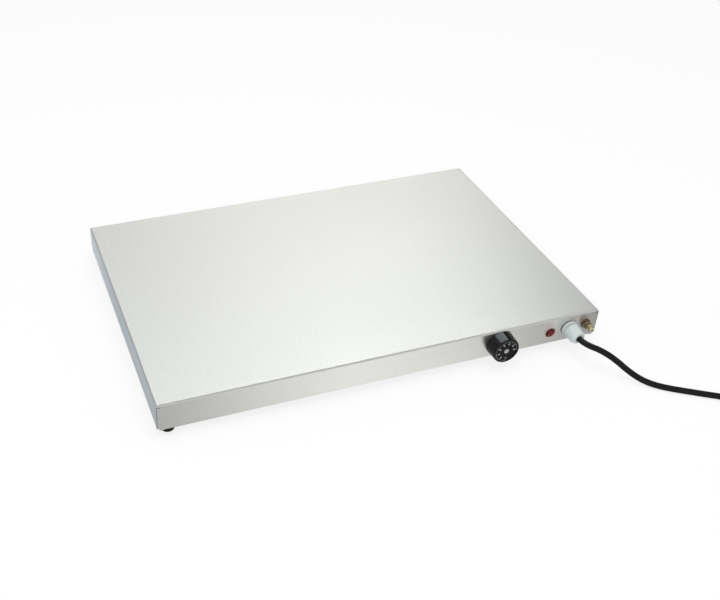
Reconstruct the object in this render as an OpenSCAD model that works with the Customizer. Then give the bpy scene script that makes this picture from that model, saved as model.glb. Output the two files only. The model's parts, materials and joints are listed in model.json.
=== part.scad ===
// Electric food warmer tray: a folded stainless casing on four rubber feet, with a
// thermostat knob, a pilot lamp, a cable gland and a bonding terminal on its front.
// The front faces -Y, the long sides run along X, and the floor is at z = 0.

/* [Casing] */
// Width of the casing along X
casing_w = 600; // [560:10:800]
// Depth of the casing along Y
casing_d = 400; // [380:10:600]
// Height of the casing from its lower edge to the warming surface
casing_h = 39.8; // [39:0.2:60]
// Thickness of the folded stainless sheet
sheet_t = 1.2; // [1:0.1:1.5]
// Outside radius of the folds
bend_r = 2.4; // [2:0.1:3]
// Width of the flanges turned in at the bottom
flange_w = 20; // [18:1:24]
// Radius of the skirts' lower corners
skirt_corner_r = 7; // [4:0.5:9]
// Thickness of the base plate
base_t = 0.8; // [0.6:0.1:1.2]

/* [Feet] */
// Height of a rubber foot
foot_h = 9.4; // [8:0.2:20]
// Radius of a foot where it meets the base plate
foot_r = 10; // [9:0.5:12]
// Distance of the foot centres from the casing's sides
foot_inset_x = 15; // [13:0.5:16]
// Distance of the foot centres from the casing's front and back
foot_inset_y = 13.5; // [12:0.5:15]

/* [Controls] */
// Height above the floor of the knob, lamp and gland axes
control_z = 30; // [28:0.5:32]
// Place of the knob along X
knob_x = 153.5; // [120:0.5:160]
// Radius of the knob at its base
knob_base_r = 19.2; // [18:0.1:19.4]
// Radius of the knob at its dial
knob_face_r = 18.1; // [17:0.1:18.5]
// Distance of the dial from the front panel
knob_reach = 18; // [16:0.5:20]
// Place of the pilot lamp along X
lamp_x = 228; // [210:0.5:230]
// Radius of the lamp's lens
lens_r = 7; // [6:0.1:7.2]
// Place of the cable gland along X
gland_x = 257.5; // [255:0.5:260]
// Distance that the gland stands out of the front panel
gland_reach = 25; // [22:0.5:28]
// Width across the flats of the gland
gland_flats = 21; // [20:0.5:22]
// Place of the bonding terminal along X
bond_x = 282.5; // [279:0.5:284]
// Height of the bonding terminal above the floor
bond_z = 32; // [30:0.5:34]

/* [Supply cord] */
// Outside diameter of the cord
cord_d = 8; // [8:1:8]
// Turns of cord in the stored coil
coil_turns = 4.353; // [4.353]
// Radius of the coil's outermost turn
coil_outer_r = 53; // [50:0.5:56]

/* [Hidden] */
$fn = 48;

// The origin is the middle of the base of the box round everything but the free cord,
// and the gland is what reaches furthest forward.
y_front = -(casing_d + gland_reach) / 2 + gland_reach;
y_back = y_front + casing_d;
y_mid = (y_front + y_back) / 2;
x_side = casing_w / 2;
z_low = foot_h + base_t;
z_top = z_low + casing_h;
z_flange = z_low + sheet_t;
z_under = z_top - sheet_t;
y_inner = y_front + sheet_t;

foot_places = [for (sx = [-1, 1]) for (sy = [-1, 1])
    [sx * (x_side - foot_inset_x), y_mid + sy * (casing_d / 2 - foot_inset_y)]];
screw_inset = 11;
screw_places = concat(
    [for (x = [-150, 0, 150]) for (s = [-1, 1]) [x, y_mid + s * (casing_d / 2 - screw_inset)]],
    [for (y = [-75, 75]) for (s = [-1, 1]) [s * (x_side - screw_inset), y_mid + y]]);

// Heater stack, from the warming surface down
spreader_t = 2;
element_r = 3.25;
leg_pitch = 54;
leg_count = 10;
leg_x0 = -leg_pitch * (leg_count - 1) / 2;
leg_front = y_front + 112;
leg_back = y_back - 45;
z_element = z_under - spreader_t - element_r;
bar_t = 2;
z_bar = z_element - element_r - bar_t;
nut_t = 4;
insulation_t = 14;
z_insulation = z_bar - nut_t - insulation_t;
tray_t = 0.6;
z_tray = z_insulation - tray_t;
stud_r = 2.5;
z_stud_end = z_tray - nut_t - 1;
stack_y0 = y_front + 78;
stack_y1 = y_back - 12;
stack_hx = 264;
stud_xs = [-216, 0, 216];
stud_ys = [leg_front + 10, (leg_front + leg_back) / 2, leg_back - 10];

// Thermostat
thermostat_w = 40;
thermostat_h = 28;
thermostat_d = 26;
plate_t = 1;
shaft_r = 3;
shaft_end = y_front - 13.5;
fix_spacing = 28;
y_thermostat = y_inner + plate_t;
bulb_x = 108;
bulb_z = z_under - spreader_t - 3;

// Gland
gland_flange_t = 4.6;
gasket_t = 0.8;
gland_thread_r = 9.2;
gland_mouth_r = 8.6;
gland_mouth = y_front - gland_reach;
cord_r = cord_d / 2;
cord_inner_end = y_front + 30;

// Cord: places along the free stretch, chosen by hand, and the coil's centre
coil_x = 486;
coil_y = -342;
coil_entry = 233;
coil_pitch = 8.6;
floor_z = 4.2;
coil_z = 5.1;
cord_points = [[gland_x, gland_mouth, control_z], [258.6, -221.4, 30.6],
    [262.4, -231.6, 31.2], [268.8, -240.8, 31], [277, -250.6, 28], [286, -261, 22.2],
    [295, -270.5, 14.8], [304, -281.3, 9.2], [313, -291, 6], [323, -300, 4.6],
    [335, -309, floor_z], [350, -319, floor_z], [368, -330.5, floor_z], [388, -343, floor_z],
    [408, -355.5, 4.3], [428, -368.5, 4.6]];
plug_x = 540;
plug_z = 19.5;
plug_back = -236;
tail_points = [[541.2, -322, 13.9], [541.3, -308, 14.9], [540.9, -292, 16.8],
    [540.3, -275, 18.9], [plug_x, plug_back - 24, plug_z]];

function unit(v) = v / norm(v);
// Rings of a tube: each is square to the line through its neighbours
function tangent(p, i) = unit(p[min(i + 1, len(p) - 1)] - p[max(i - 1, 0)]);
function side_of(t) = unit(cross(abs(t[2]) > 0.9 ? [1, 0, 0] : [0, 0, 1], t));
function ring(c, t, r, sides) = let (u = side_of(t), v = cross(t, u))
    [for (k = [0 : sides - 1]) c + r * (cos(360 * k / sides) * u + sin(360 * k / sides) * v)];
module tube(p, r, sides, first, last) {
    n = len(p);
    rings = [for (i = [0 : n - 1])
        ring(p[i], i == 0 ? unit(first) : i == n - 1 ? unit(last) : tangent(p, i), r, sides)];
    polyhedron(
        points = [for (g = rings) each g],
        faces = concat(
            [[for (k = [0 : sides - 1]) k]],
            [for (i = [0 : n - 2]) for (k = [0 : sides - 1]) for (h = [0, 1])
                let (a = i * sides + k, b = i * sides + (k + 1) % sides)
                h == 0 ? [a, a + sides, b] : [b, a + sides, b + sides]],
            [[for (k = [sides - 1 : -1 : 0]) (n - 1) * sides + k]]));
}

// Coil: a spiral in on the floor, a climb in the half turn where it reverses, a spiral out
function coil_lift(t) = let (s = max(0, min(1, (t - coil_turns / 2 + 0.25) / 0.5)))
    s * s * (3 - 2 * s);
function coil_at(t) =
    let (r = coil_outer_r - coil_pitch * min(t, coil_turns - t), a = coil_entry + 360 * t)
    [coil_x + r * cos(a), coil_y + r * sin(a), coil_z + coil_pitch * coil_lift(t)];
rings_a_turn = 24;
coil_rings = round(coil_turns * rings_a_turn);
coil_line = [for (i = [0 : coil_rings]) coil_at(coil_turns * i / coil_rings)];
coil_start_dir = unit(coil_line[1] - coil_line[0]);
coil_end_dir = unit(coil_line[coil_rings] - coil_line[coil_rings - 1]);
coil_start = coil_line[0] - cord_d * coil_start_dir;
coil_end = coil_line[coil_rings] + cord_d * coil_end_dir;
coil_path = concat([coil_start], coil_line, [coil_end]);
// Least distance between points of different turns, less the cord's thickness
coil_gap = min([for (i = [0 : coil_rings]) for (j = [i + 12 : 1 : coil_rings])
    norm(coil_line[i] - coil_line[j])]) - cord_d;
function path_length(p) = [for (i = 1, s = norm(p[1] - p[0]); i < len(p);
    i = i + 1, s = s + (i < len(p) ? norm(p[i] - p[i - 1]) : 0)) s][len(p) - 2];
supply_path = concat(cord_points, [coil_start]);
tail_path = concat([coil_end], tail_points);
echo(coil_gap_mm = coil_gap);
echo(cord_length_mm = path_length(supply_path) + path_length(coil_path) + path_length(tail_path));

// Shared shapes
// Puts a shape made along +Z on the front panel, standing out along -Y
module on_panel(x, z, y = y_front) translate([x, y, z]) rotate([90, 0, 0]) children();
module hex(across, h) cylinder(h = h, r = across / sqrt(3), $fn = 6);
// A hexagon whose corners are turned off at one or both ends
module turned_hex(across, h, both = true) intersection() {
    hex(across, h);
    union() {
        translate([0, 0, both ? 0.8 : 0]) cylinder(h = h - (both ? 1.6 : 0.8), r = across);
        translate([0, 0, h - 0.8]) cylinder(h = 0.8, r1 = across / sqrt(3), r2 = across / 2);
        if (both) cylinder(h = 0.8, r1 = across / 2, r2 = across / sqrt(3));
    }
}
module nut(across, h, bore_r) difference() {
    turned_hex(across, h);
    translate([0, 0, -1]) cylinder(h = h + 2, r = bore_r);
}
module washer(r, bore_r, h) difference() {
    cylinder(h = h, r = r);
    translate([0, 0, -1]) cylinder(h = h + 2, r = bore_r);
}
// A pan head with a cross recess: the head hangs below z = 0 and the shank rises from it
module pan_screw(head_r, head_h, shank_r, length) {
    difference() {
        union() {
            translate([0, 0, -head_h * 0.55]) cylinder(h = head_h * 0.55, r = head_r);
            translate([0, 0, -head_h]) cylinder(h = head_h * 0.45, r1 = head_r * 0.72, r2 = head_r);
        }
        for (a = [0, 90]) rotate([0, 0, a])
            translate([-head_r * 0.5, -0.4, -head_h - 1]) cube([head_r, 0.8, 1 + head_h * 0.5]);
    }
    cylinder(h = length, r = shank_r);
}
module rounded_plate(w, d, r, h) linear_extrude(h) {
    square([w - 2 * r, d], center = true);
    square([w, d - 2 * r], center = true);
    for (sx = [-1, 1]) for (sy = [-1, 1])
        translate([sx * (w / 2 - r), sy * (d / 2 - r)]) circle(r);
}
module holes(places, r, z, h) for (p = places) translate([p[0], p[1], z]) cylinder(h = h, r = r);

// Casing
module arch_2d(w, h, r) {
    translate([-w / 2, 0]) square([w, h - r]);
    translate([-w / 2 + r, 0]) square([w - 2 * r, h]);
    for (s = [-1, 1]) translate([s * (w / 2 - r), h - r]) circle(r);
}
// A block whose four upper edges are rounded, the way folds meet at a mitred corner
module folded_block(w, d, h, r) intersection() {
    translate([0, d / 2, 0]) rotate([90, 0, 0]) linear_extrude(d) arch_2d(w, h, r);
    translate([-w / 2, 0, 0]) rotate([90, 0, 90]) linear_extrude(w) arch_2d(d, h, r);
}
// The fold at the foot of a skirt, drawn with the skirt's outer face at u = 0
module foot_fold_2d(flat_end) {
    intersection() {
        square(bend_r);
        difference() {
            translate([bend_r, bend_r]) circle(bend_r);
            translate([bend_r, bend_r]) circle(bend_r - sheet_t);
        }
    }
    if (flat_end > bend_r) translate([bend_r, 0]) square([flat_end - bend_r, sheet_t]);
}
module along_front(length) translate([-length / 2, -casing_d / 2, 0])
    rotate([90, 0, 90]) linear_extrude(length) children();
module along_side(length) translate([-x_side, length / 2, 0])
    rotate([90, 0, 0]) linear_extrude(length) children();
module corner_cut(r) difference() {
    translate([-1, -1]) square(r + 1);
    translate([r, r]) circle(r);
}
module casing() color("gainsboro") {
    relief_w = 4.5;
    relief_h = 1.1;
    fold_w = casing_w - 2 * skirt_corner_r;
    fold_d = casing_d - 2 * skirt_corner_r;
    side_flat_d = casing_d - 2 * flange_w - 4;
    difference() {
        translate([0, y_mid, z_low]) difference() {
            folded_block(casing_w, casing_d, casing_h, bend_r);
            translate([0, 0, -1]) folded_block(casing_w - 2 * sheet_t, casing_d - 2 * sheet_t,
                casing_h - sheet_t + 1, bend_r - sheet_t);
            // The folds at the foot take the skirts' last few millimetres
            for (s = [0, 180]) rotate([0, 0, s]) {
                translate([-fold_w / 2, -casing_d / 2 - 1, -1])
                    cube([fold_w, 1 + bend_r, 1 + bend_r]);
                translate([-x_side - 1, -fold_d / 2, -1]) cube([1 + bend_r, fold_d, 1 + bend_r]);
            }
            // Rounded lower corners
            for (mx = [0, 1]) for (my = [0, 1]) mirror([mx, 0, 0]) mirror([0, my, 0]) {
                translate([-x_side, -casing_d / 2 + bend_r, 0]) rotate([90, 0, 0])
                    linear_extrude(bend_r + 1) corner_cut(skirt_corner_r);
                translate([-x_side - 1, -casing_d / 2, 0]) rotate([90, 0, 90])
                    linear_extrude(bend_r + 1) corner_cut(skirt_corner_r);
                // Relief slot under the top fold, at the corner
                translate([-x_side + sheet_t, -casing_d / 2 - 1, casing_h - bend_r - relief_h])
                    cube([relief_w, 1 + sheet_t + 0.01, relief_h]);
            }
        }
        on_panel(knob_x, control_z, y_front + 5) cylinder(h = 10, r = 5);
        for (s = [-1, 1]) on_panel(knob_x + s * fix_spacing / 2, control_z, y_front + 5)
            cylinder(h = 10, r = 1.6);
        on_panel(lamp_x, control_z, y_front + 5) cylinder(h = 10, r = 5.2);
        on_panel(gland_x, control_z, y_front + 5) cylinder(h = 10, r = gland_thread_r + 0.1);
        on_panel(bond_x, bond_z, y_front + 5) cylinder(h = 10, r = bond_r + 0.1);
    }
    difference() {
        translate([0, y_mid, z_low]) for (s = [0, 180]) rotate([0, 0, s]) {
            along_front(fold_w) foot_fold_2d(flange_w);
            along_side(fold_d) foot_fold_2d(bend_r);
            along_side(side_flat_d) foot_fold_2d(flange_w);
        }
        holes(foot_places, 2.2, z_low - 1, sheet_t + 2);
        holes(screw_places, 2, z_low - 1, sheet_t + 2);
    }
}

module at_studs() for (x = stud_xs) for (y = stud_ys) translate([x, y, 0]) children();

module weld_studs() color("silver") at_studs()
    translate([0, 0, z_stud_end]) cylinder(h = z_under - z_stud_end, r = stud_r);

// A pressed rib: the part above z = 0 of a long lens with ball ends
module rib(length, w, h) {
    r = (w * w / 4 + h * h) / (2 * h);
    intersection() {
        translate([0, 0, h - r]) {
            translate([-length / 2, 0, 0]) rotate([0, 90, 0]) cylinder(h = length, r = r);
            for (s = [-1, 1]) translate([s * length / 2, 0, 0]) sphere(r);
        }
        translate([-length / 2 - w, -w, 0]) cube([length + 2 * w, 2 * w, h + 1]);
    }
}
module base_plate() color("lightgray") difference() {
    union() {
        translate([0, y_mid, foot_h])
            rounded_plate(casing_w - 5, casing_d - 5, skirt_corner_r, base_t);
        for (y = [-110, 0, 110]) translate([0, y_mid + y, z_low]) rib(440, 14, 1.5);
    }
    for (y = [-110, 0, 110]) translate([0, y_mid + y, foot_h - 0.01]) rib(438, 12.4, 1.5);
    holes(foot_places, 2.3, foot_h - 1, base_t + 2);
    holes(screw_places, 2.2, foot_h - 1, base_t + 2);
}

module base_screws() color("silver") for (p = screw_places)
    translate([p[0], p[1], foot_h]) pan_screw(3.6, 2.3, 1.95, 6);

// Feet: tapered rubber, with a recess below for the screw and its washer
recess_r = 5;
recess_h = 4.6;
washer_t = 0.8;
foot_nut_t = 3.2;
module foot(p) color([0.07, 0.07, 0.07]) translate([p[0], p[1], 0]) rotate_extrude() difference() {
    union() {
        polygon([[0, 2.2], [8.6, 2.2], [9.4, foot_h - 1], [foot_r, foot_h - 0.6], [foot_r, foot_h],
            [0, foot_h]]);
        square([6.4, 3]);
        translate([6.4, 2.2]) circle(2.2);
    }
    translate([-10, -1]) square([10, foot_h + 2]);
    square([recess_r, recess_h]);
    square([2.2, foot_h + 1]);
}
module foot_front_left() foot(foot_places[0]);
module foot_back_left() foot(foot_places[1]);
module foot_front_right() foot(foot_places[2]);
module foot_back_right() foot(foot_places[3]);
module foot_washers() color("silver") for (p = foot_places)
    translate([p[0], p[1], recess_h - washer_t]) washer(4.5, 2.1, washer_t);
module foot_screws() color("silver") for (p = foot_places)
    translate([p[0], p[1], recess_h - washer_t])
        pan_screw(3.8, 2.4, 1.95, z_flange + foot_nut_t + 1.5 - recess_h + washer_t);
module foot_nuts() color("silver") for (p = foot_places)
    translate([p[0], p[1], z_flange]) nut(7, foot_nut_t, 2);

// Heater
module stack_plate(z, h, inset) translate([0, (stack_y0 + stack_y1) / 2, z])
    rounded_plate(2 * (stack_hx - inset), stack_y1 - stack_y0 - 2 * inset, 8, h);
module heat_spreader() color("lightsteelblue") difference() {
    stack_plate(z_under - spreader_t, spreader_t, 4);
    at_studs() translate([0, 0, z_under - 5]) cylinder(h = 6, r = stud_r + 0.3);
}
module half_turn(x, y, facing) translate([x, y, z_element]) rotate([0, 0, facing])
    rotate_extrude(angle = 180) translate([leg_pitch / 2, 0]) circle(element_r);
module heating_element() color("dimgray") {
    for (i = [0 : leg_count - 1]) {
        // The first and last legs run on forward as cold ends
        y0 = i == 0 || i == leg_count - 1 ? leg_front - 50 : leg_front;
        translate([leg_x0 + i * leg_pitch, leg_back, z_element]) rotate([90, 0, 0])
            cylinder(h = leg_back - y0, r = element_r);
    }
    for (i = [0 : leg_count - 2])
        half_turn(leg_x0 + (i + 0.5) * leg_pitch, i % 2 == 0 ? leg_back : leg_front,
            i % 2 == 0 ? 0 : 180);
}
module at_cold_ends() for (s = [-1, 1])
    translate([s * -leg_x0, leg_front - 50, z_element]) rotate([90, 0, 0]) children();
module element_seals() color("white") at_cold_ends() difference() {
    union() {
        cylinder(h = 4, r = 4.4);
        translate([0, 0, 4]) cylinder(h = 3, r1 = 4.4, r2 = 2.8);
    }
    translate([0, 0, -1]) cylinder(h = 9, r = 1.5);
}
module element_pins() color("silver") at_cold_ends() {
    cylinder(h = 12, r = 1.45);
    translate([0, 0, 12]) linear_extrude(8) square([6.3, 0.8], center = true);
}
module clamp_bars() color("silver") for (y = stud_ys) difference() {
    translate([0, y, z_bar]) rounded_plate(2 * -leg_x0 + 26, 18, 3, bar_t);
    for (x = stud_xs) translate([x, y, z_bar - 1]) cylinder(h = bar_t + 2, r = stud_r + 0.2);
}
module clamp_nuts() color("silver") at_studs()
    translate([0, 0, z_bar - nut_t]) nut(8, nut_t, stud_r + 0.03);
module tray_nuts() color("silver") at_studs()
    translate([0, 0, z_tray - nut_t]) nut(8, nut_t, stud_r + 0.03);
module insulation() color("wheat") difference() {
    stack_plate(z_insulation, insulation_t, tray_t);
    at_studs() translate([0, 0, z_insulation - 1]) cylinder(h = insulation_t + 2, r = 3);
}
module insulation_tray() color("silver") difference() {
    stack_plate(z_tray, tray_t + insulation_t, 0);
    stack_plate(z_insulation, insulation_t + 1, tray_t);
    at_studs() translate([0, 0, z_tray - 1]) cylinder(h = 3, r = stud_r + 0.3);
}

// Thermostat: a moulded body on a steel plate behind the panel, with a capillary bulb
module thermostat_plate() color("silver") on_panel(knob_x, control_z, y_thermostat)
    difference() {
        rounded_plate(fix_spacing + 12, 22, 5, plate_t);
        translate([0, 0, -1]) cylinder(h = 5, r = 5);
        for (s = [-1, 1]) translate([s * fix_spacing / 2, 0, -1]) cylinder(h = 5, r = 1.55);
    }
module thermostat_body() color([0.16, 0.13, 0.11]) difference() {
    union() {
        // Main case, with a stepped back cover and a round boss for the shaft
        on_panel(knob_x, control_z, y_thermostat + thermostat_d)
            rounded_plate(thermostat_w - 16, thermostat_h, 4, thermostat_d);
        on_panel(knob_x, control_z, y_thermostat + thermostat_d - 3)
            rounded_plate(thermostat_w, thermostat_h - 4, 4, thermostat_d - 9);
        on_panel(knob_x, control_z, y_thermostat) cylinder(h = 2, r = 4.8);
    }
    on_panel(knob_x, control_z, y_thermostat + 14) cylinder(h = 30, r = shaft_r + 0.06);
}
module thermostat_tabs() color("gold") for (sx = [-1, 1]) for (sz = [-1, 1])
    translate([knob_x + sx * 15 - 0.4, y_thermostat + thermostat_d - 3, control_z + sz * 7 - 3.15])
        cube([0.8, 8, 6.3]);
module thermostat_screws() color("silver") for (s = [-1, 1])
    translate([knob_x + s * fix_spacing / 2, y_front, control_z]) rotate([-90, 0, 0])
        pan_screw(2.7, 1.9, 1.45, 6);
// The shaft has a flat where the knob seats
module d_bar(r, flat, h) intersection() {
    cylinder(h = h, r = r);
    translate([-2 * r, -2 * r, -1]) cube([4 * r, 2 * r + flat, h + 2]);
}
shaft_flat = 1.6;
flat_start = y_front - 3.5;
module thermostat_shaft() color("silver") {
    on_panel(knob_x, control_z, y_thermostat + 12)
        cylinder(h = y_thermostat + 12 - flat_start, r = shaft_r);
    on_panel(knob_x, control_z, flat_start) d_bar(shaft_r, shaft_flat, flat_start - shaft_end);
}
bulb_y0 = leg_front + 30;
module sensor_bulb() color("peru") translate([bulb_x, bulb_y0, bulb_z]) rotate([-90, 0, 0]) {
    cylinder(h = 84, r = 3);
    translate([0, 0, 84]) sphere(3);
    translate([0, 0, -5]) cylinder(h = 5, r1 = 1.2, r2 = 3);
}
module bulb_clip() color("silver") translate([bulb_x, bulb_y0 + 34, 0]) rotate([90, 0, 0])
    linear_extrude(12) {
        difference() {
            translate([0, bulb_z]) circle(3.7);
            translate([0, bulb_z]) circle(3.05);
            translate([-5, bulb_z]) square([10, 5]);
        }
        for (s = [-1, 1]) translate([s * 3.375 - 0.325, bulb_z]) square([0.65, 3]);
        for (s = [-1, 1]) translate([s * 7.5 - 4.5, bulb_z + 2.35]) square([9, 0.65]);
    }
capillary_points = [[knob_x + 4, y_thermostat + thermostat_d, control_z + 8],
    [knob_x + 4, y_thermostat + thermostat_d + 6, control_z + 8.5], [150, -142, 40],
    [132, -130, 41.5], [115, -118, 42.6], [bulb_x + 1, -104, 43.4], [bulb_x, -86, bulb_z],
    [bulb_x, bulb_y0 - 5, bulb_z]];
module capillary() color("peru") tube(capillary_points, 0.9, 8, [0, 1, 0], [0, 1, 0]);

// Knob: a hollow tapered shell with a boss, ribs and a dished dial
knob_gap = 1;
knob_wall = 1.5;
boss_r = 5.2;
module knob() color([0.06, 0.06, 0.065]) on_panel(knob_x, control_z) {
    h = knob_reach;
    edge = 1.4;
    difference() {
        rotate_extrude() {
            // Shell and dial in one section, with a rounded edge round the dial
            difference() {
                union() {
                    polygon([[0, knob_gap], [knob_base_r, knob_gap], [knob_face_r + 0.1, h - edge],
                        [0, h - edge]]);
                    translate([knob_face_r - edge, h - edge]) circle(edge);
                    square([knob_face_r - edge, h]);
                }
                translate([-30, -1]) square([30, h + 3]);
                polygon([[0, -1], [knob_base_r - knob_wall + 0.1, -1],
                    [knob_face_r - knob_wall, h - 2.6], [0, h - 2.6]]);
                // The dial is dished a little inside its rim
                polygon([[0, h - 0.5], [knob_face_r - 2.4, h - 0.5], [knob_face_r - 1.9, h + 1],
                    [0, h + 1]]);
            }
        }
        translate([0, 0, h - 1.6]) cylinder(h = 3, r = 3.5);
    }
    // Boss with a D-shaped socket
    difference() {
        union() {
            translate([0, 0, 3.6]) cylinder(h = h - 2.6 - 3.6 + 0.5, r = boss_r);
            for (a = [0 : 60 : 300]) rotate([0, 0, a + 30])
                translate([0, -0.6, 6]) cube([knob_face_r - 1.2, 1.2, h - 2.2 - 6]);
        }
        translate([0, 0, 3]) d_bar(shaft_r + 0.04, shaft_flat + 0.8, h - 3 - 3.9);
    }
}
// Leaf spring between the flat of the shaft and the socket
module knob_spring() color("silver") on_panel(knob_x, control_z)
    translate([-2, shaft_flat + 0.1, 4.5]) cube([4, 0.6, 8]);
module knob_cap() color([0.72, 0.72, 0.73]) on_panel(knob_x, control_z)
    translate([0, 0, knob_reach - 1.6]) {
        cylinder(h = 1.2, r = 3.45);
        translate([0, 0, 1.2]) cylinder(h = 0.4, r1 = 3.45, r2 = 3.0);
    }

// Pilot lamp
bezel_t = 1.6;
bezel_r = lens_r + 1.8;
module lamp_bezel() color([0.85, 0.83, 0.82]) on_panel(lamp_x, control_z) difference() {
    union() {
        cylinder(h = 0.6, r = bezel_r);
        translate([0, 0, 0.6]) cylinder(h = bezel_t - 0.6, r1 = bezel_r, r2 = bezel_r - 0.8);
    }
    translate([0, 0, -1]) cylinder(h = 5, r = 5.1);
    translate([0, 0, 0.5]) cylinder(h = 5, r = lens_r + 0.05);
}
module lamp_lens() color([0.6, 0.05, 0.06]) on_panel(lamp_x, control_z) translate([0, 0, 0.5]) {
    dome = 19;
    cylinder(h = 1.4, r = lens_r);
    translate([0, 0, 1.4]) cylinder(h = 1.1, r1 = lens_r, r2 = lens_r - 1.4);
    translate([0, 0, 2.5]) intersection() {
        translate([0, 0, -dome]) sphere(dome + 0.8);
        cylinder(h = 2, r = lens_r - 1.4);
    }
}
module lamp_body() color("ivory") on_panel(lamp_x, control_z) {
    translate([0, 0, -24]) cylinder(h = 24.5, r = 5);
    translate([0, 0, -28]) rounded_plate(8, 6, 1, 4.5);
}
module lamp_clip() color("silver") on_panel(lamp_x, control_z, y_inner) translate([0, 0, -1])
    difference() {
        washer(8, 5.05, 1);
        for (a = [0 : 90 : 270]) rotate([0, 0, a]) translate([0, -0.6, -1]) cube([7, 1.2, 3]);
    }
module lamp_tabs() color("gold") for (s = [-1, 1])
    translate([lamp_x + s * 2.4 - 0.4, y_front + 28, control_z - 1.4]) cube([0.8, 7, 2.8]);

// Cable gland: body with a turned hexagon, sealing ring, domed nut, gasket and locknut
y_flange = y_front - gasket_t;
y_nut = y_flange - gland_flange_t;
module gland_gasket() color([0.5, 0.52, 0.52]) on_panel(gland_x, control_z)
    washer(gland_flats / 2 + 0.5, gland_thread_r + 0.05, gasket_t);
module gland_body() color([0.86, 0.88, 0.88]) difference() {
    union() {
        on_panel(gland_x, control_z, y_flange) {
            // Round flange with grip ribs
            cylinder(h = gland_flange_t, r = gland_flats / 2 + 0.7);
            translate([0, 0, 0.6]) for (a = [0 : 15 : 345]) rotate([0, 0, a])
                translate([gland_flats / 2 + 0.3, -0.8, 0]) cube([0.9, 1.6, gland_flange_t - 1.2]);
        }
        on_panel(gland_x, control_z, y_front + 10) cylinder(h = 10 + gasket_t, r = gland_thread_r);
        on_panel(gland_x, control_z, y_nut) cylinder(h = 7, r = 8);
    }
    on_panel(gland_x, control_z, y_front + 12) cylinder(h = 12 - y_nut + y_front - 1, r = 5.6);
    on_panel(gland_x, control_z, y_nut + 1.01) cylinder(h = 12, r = 6.6);
}
nut_h = gland_reach - gasket_t - gland_flange_t;
dome_h = 5.5;
dome_r = gland_flats / 2 - 0.6;
module gland_nut() color([0.9, 0.92, 0.92]) on_panel(gland_x, control_z, y_nut) difference() {
    union() {
        // Collar, long tapered flats, then the domed mouth
        cylinder(h = 1.2, r = gland_flats / 2 - 1.5);
        translate([0, 0, 1.2]) intersection() {
            hex(gland_flats - 1.2, nut_h);
            union() {
                cylinder(h = nut_h - dome_h - 1.2, r1 = dome_r + 0.9, r2 = dome_r + 0.1);
                translate([0, 0, nut_h - dome_h - 1.2])
                    cylinder(h = 3.4, r1 = dome_r + 0.1, r2 = dome_r - 0.7);
                translate([0, 0, nut_h - dome_h + 2.2])
                    cylinder(h = dome_h - 3.4, r1 = dome_r - 0.7, r2 = gland_mouth_r - 2);
            }
        }
        for (a = [0 : 60 : 300]) rotate([0, 0, a]) translate([0, -0.7, 2.4])
            cube([dome_r + 0.55, 1.4, nut_h - dome_h - 2.4]);
    }
    translate([0, 0, -1]) cylinder(h = 8.2, r = 8.05);
    translate([0, 0, 7.19]) cylinder(h = 6.5, r1 = 7.2, r2 = 6.2);
    translate([0, 0, 13]) cylinder(h = nut_h, r = cord_r + 0.5);
}
module gland_seal() color([0.3, 0.31, 0.32]) on_panel(gland_x, control_z, y_nut - 0.4)
    difference() {
        union() {
            cylinder(h = 6.9, r = 6.5);
            translate([0, 0, 6.9]) cylinder(h = 4.6, r1 = 6.1, r2 = 5.4);
        }
        translate([0, 0, -1]) cylinder(h = 20, r = cord_r + 0.02);
    }
module gland_locknut() color([0.86, 0.88, 0.88]) on_panel(gland_x, control_z, y_inner + 4)
    nut(24, 4, gland_thread_r + 0.05);
module cord_end() color([0.05, 0.05, 0.05]) on_panel(gland_x, control_z, cord_inner_end)
    cylinder(h = cord_inner_end - gland_mouth, r = cord_r);

// Bonding terminal: an M5 brass stud with nuts and washers each side of the panel
bond_r = 2.5;
bond_flats = 8;
bond_stack = [["washer", 1.2], ["nut", 4.6], ["washer", 1], ["washer", 1], ["nut", 5]];
function stack_height(i) = i == 0 ? 0 : bond_stack[i - 1][1] + stack_height(i - 1);
// Past the last nut the stud has a groove and then its free end
bond_groove = 0.8;
bond_free = 4.8;
bond_reach = stack_height(len(bond_stack)) + bond_free;
module bond_stud() color("darkgoldenrod") on_panel(bond_x, bond_z, y_inner + 13) {
    held = 13 + sheet_t + bond_reach - bond_free;
    cylinder(h = held, r = bond_r);
    translate([0, 0, held]) cylinder(h = bond_groove, r = bond_r - 0.5);
    translate([0, 0, held + bond_groove]) cylinder(h = bond_free - bond_groove - 0.8, r = bond_r);
    translate([0, 0, held + bond_free - 0.8]) cylinder(h = 0.8, r1 = bond_r, r2 = bond_r - 0.8);
}
module bond_nuts() color("goldenrod") {
    for (i = [0 : len(bond_stack) - 1]) if (bond_stack[i][0] == "nut")
        on_panel(bond_x, bond_z) translate([0, 0, stack_height(i)])
            nut(bond_flats, bond_stack[i][1], bond_r + 0.04);
    for (y = [5.8, 11.3]) on_panel(bond_x, bond_z, y_inner + y)
        nut(bond_flats, 4.6, bond_r + 0.04);
}
module bond_washers() color("goldenrod") {
    for (i = [0 : len(bond_stack) - 1]) if (bond_stack[i][0] == "washer")
        on_panel(bond_x, bond_z) translate([0, 0, stack_height(i)])
            washer(i == 0 ? 7 : 5.4, bond_r + 0.1, bond_stack[i][1] - 0.02);
    on_panel(bond_x, bond_z, y_inner + 1.2) washer(5.4, bond_r + 0.1, 1.18);
}
// The lug is clamped between the two inner nuts
module bond_lug() color("silver") on_panel(bond_x, bond_z, y_inner + 6.7) {
    washer(6, bond_r + 0.15, 0.9);
    translate([-2, -10, 0]) cube([4, 5, 0.9]);
    translate([0, -16, 1.6]) rotate([-90, 0, 0]) difference() {
        cylinder(h = 7, r = 2.4);
        translate([0, 0, -1]) cylinder(h = 6, r = 1.65);
    }
}

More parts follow.
